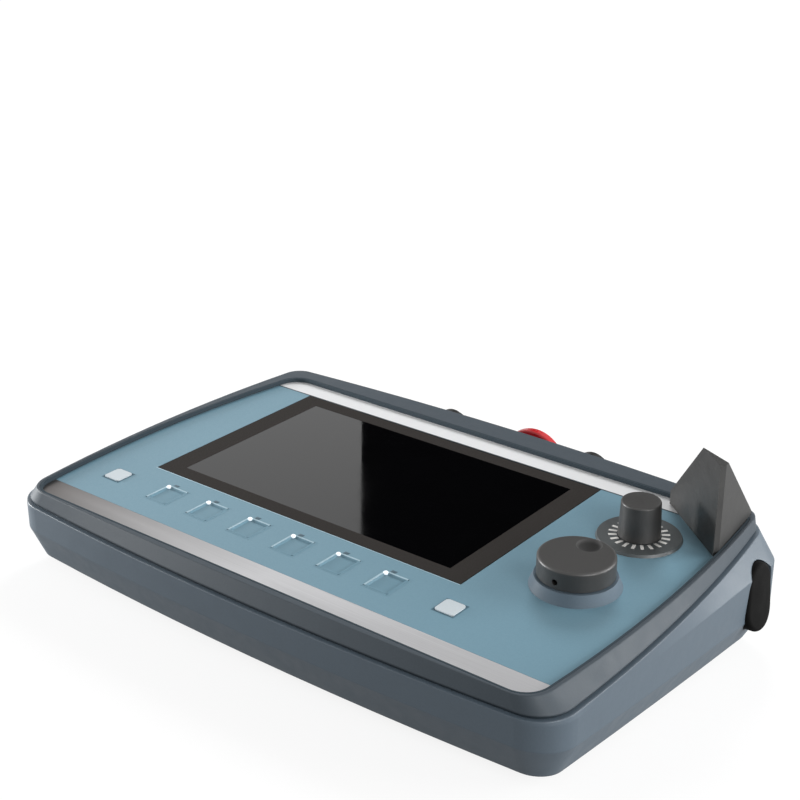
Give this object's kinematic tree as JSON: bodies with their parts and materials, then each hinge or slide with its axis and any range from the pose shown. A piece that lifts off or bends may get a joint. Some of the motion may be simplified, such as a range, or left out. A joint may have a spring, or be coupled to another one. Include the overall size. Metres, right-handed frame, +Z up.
{
  "type": "mobile hmi panel",
  "caption": "Wedge-shaped hand-held operator panel with screen, keys, handwheel, override knob, corner guard, rear emergency stop and enabling buttons.",
  "frame": {"origin": "bottom centre of the bounding box, on the plane of the feet", "axes": "+X to the operator's right, +Y to the rear, +Z up; the front plate rises 6 degrees to the rear"},
  "size_m": [0.2998, 0.2226, 0.094],
  "materials": {
    "housing_upper": "fine grained moulded plastic",
    "housing_lower": "fine grained moulded plastic",
    "seal_rubber": "matt black rubber",
    "overlay_blue": "satin printed film",
    "strip_silver": "brushed silver",
    "header_white": "smooth white film",
    "screen_glass": "polished glass",
    "screen_module": "dark screen",
    "sheet_steel": "plain sheet metal",
    "board_green": "solder resist",
    "screw_steel": "zinc plated",
    "key_blue": "satin moulded plastic",
    "key_white": "smooth white plastic",
    "collar_grey": "satin moulded plastic",
    "knob_black": "satin black plastic",
    "dial_black": "matt printed disc",
    "guard_charcoal": "grained moulded plastic",
    "switch_black": "moulded plastic",
    "estop_collar": "satin moulded plastic",
    "estop_red": "smooth red plastic",
    "stem_grey": "moulded plastic",
    "bezel_black": "satin black plastic",
    "button_rubber": "matt black rubber",
    "gland_black": "moulded plastic",
    "foot_rubber": "matt black rubber"
  },
  "bodies": {
    "housing": {"upper_housing": "housing_upper", "lower_housing": "housing_lower", "rear_cover": "housing_lower", "housing_seal": "seal_rubber", "overlay_bead": "seal_rubber", "front_overlay": "overlay_blue", "silver_strip": "strip_silver", "header_strip": "header_white", "touch_glass": "screen_glass", "display_module": "screen_module", "display_frame": "sheet_steel", "main_board": "board_green", "keypad_board": "board_green", "frame_screws": "screw_steel", "board_screws": "screw_steel", "guard_screws": "screw_steel", "cover_screws": "screw_steel", "housing_screws": "screw_steel", "key_switches": "screw_steel", "handwheel_nut": "screw_steel", "override_nut": "screw_steel", "handwheel_collar": "collar_grey", "override_dial": "dial_black", "corner_guard": "guard_charcoal", "handwheel_encoder": "switch_black", "override_switch": "switch_black", "estop_contacts": "switch_black", "left_button_switch": "switch_black", "right_button_switch": "switch_black", "enabling_switch_left": "switch_black", "enabling_switch_right": "switch_black", "estop_collar": "estop_collar", "estop_nut": "estop_collar", "left_button_bezel": "bezel_black", "right_button_bezel": "bezel_black", "cable_gland": "gland_black", "gland_nut": "gland_black", "front_feet": "foot_rubber", "rear_feet": "foot_rubber"},
    "handwheel": {"handwheel_knob": "knob_black", "handwheel_shaft": "screw_steel"},
    "override": {"override_knob": "knob_black", "override_shaft": "screw_steel"},
    "estop_plunger": {"estop_stem": "stem_grey"},
    "estop_mushroom": {"estop_head": "estop_red"},
    "function_key_1_body": {"function_key_1": "key_blue"},
    "function_key_2_body": {"function_key_2": "key_blue"},
    "function_key_3_body": {"function_key_3": "key_blue"},
    "function_key_4_body": {"function_key_4": "key_blue"},
    "function_key_5_body": {"function_key_5": "key_blue"},
    "function_key_6_body": {"function_key_6": "key_blue"},
    "white_key_left_body": {"white_key_left": "key_white"},
    "white_key_right_body": {"white_key_right": "key_white"},
    "left_button": {"left_button_cap": "bezel_black"},
    "enabling_left": {"enabling_button_left": "button_rubber"},
    "right_button": {"right_button_cap": "bezel_black"},
    "enabling_right": {"enabling_button_right": "button_rubber"}
  },
  "joints": [
    {"name": "handwheel_turn", "type": "hinge", "parent": "housing", "child": "handwheel", "pos_m": [0.1023, -0.02366, 0.05065], "axis": [0, -0.1045, 0.9945], "continuous": true},
    {"name": "override_turn", "type": "hinge", "parent": "housing", "child": "override", "pos_m": [0.1023, 0.02674, 0.05232], "axis": [0, -0.1045, 0.9945], "range_deg": [-140, 140]},
    {"name": "estop_press", "type": "slide", "parent": "housing", "child": "estop_plunger", "axis": [0, -0.9945, -0.1045], "range_m": [0, 0.005]},
    {"name": "estop_twist", "type": "hinge", "parent": "estop_plunger", "child": "estop_mushroom", "pos_m": [0, 0.0895, 0.03408], "axis": [0, 0.9945, 0.1045], "range_deg": [-45, 0], "stiffness_Nm_per_rad": 0.05},
    {"name": "function_key_1_press", "type": "slide", "parent": "housing", "child": "function_key_1_body", "axis": [0, 0.1045, -0.9945], "range_m": [0, 0.0005], "stiffness_N_per_m": 800},
    {"name": "function_key_2_press", "type": "slide", "parent": "housing", "child": "function_key_2_body", "axis": [0, 0.1045, -0.9945], "range_m": [0, 0.0005], "stiffness_N_per_m": 800},
    {"name": "function_key_3_press", "type": "slide", "parent": "housing", "child": "function_key_3_body", "axis": [0, 0.1045, -0.9945], "range_m": [0, 0.0005], "stiffness_N_per_m": 800},
    {"name": "function_key_4_press", "type": "slide", "parent": "housing", "child": "function_key_4_body", "axis": [0, 0.1045, -0.9945], "range_m": [0, 0.0005], "stiffness_N_per_m": 800},
    {"name": "function_key_5_press", "type": "slide", "parent": "housing", "child": "function_key_5_body", "axis": [0, 0.1045, -0.9945], "range_m": [0, 0.0005], "stiffness_N_per_m": 800},
    {"name": "function_key_6_press", "type": "slide", "parent": "housing", "child": "function_key_6_body", "axis": [0, 0.1045, -0.9945], "range_m": [0, 0.0005], "stiffness_N_per_m": 800},
    {"name": "white_key_left_press", "type": "slide", "parent": "housing", "child": "white_key_left_body", "axis": [0, 0.1045, -0.9945], "range_m": [0, 0.0005], "stiffness_N_per_m": 800},
    {"name": "white_key_right_press", "type": "slide", "parent": "housing", "child": "white_key_right_body", "axis": [0, 0.1045, -0.9945], "range_m": [0, 0.0005], "stiffness_N_per_m": 800},
    {"name": "left_button_press", "type": "slide", "parent": "housing", "child": "left_button", "axis": [0, -0.9945, -0.1045], "range_m": [0, 0.0025], "stiffness_N_per_m": 600},
    {"name": "enabling_left_press", "type": "slide", "parent": "housing", "child": "enabling_left", "axis": [0.9976, -0.0694, -0.0073], "range_m": [0, 0.003], "stiffness_N_per_m": 1200},
    {"name": "right_button_press", "type": "slide", "parent": "housing", "child": "right_button", "axis": [0, -0.9945, -0.1045], "range_m": [0, 0.0025], "stiffness_N_per_m": 600},
    {"name": "enabling_right_press", "type": "slide", "parent": "housing", "child": "enabling_right", "axis": [-0.9976, -0.0694, -0.0073], "range_m": [0, 0.003], "stiffness_N_per_m": 1200}
  ]
}
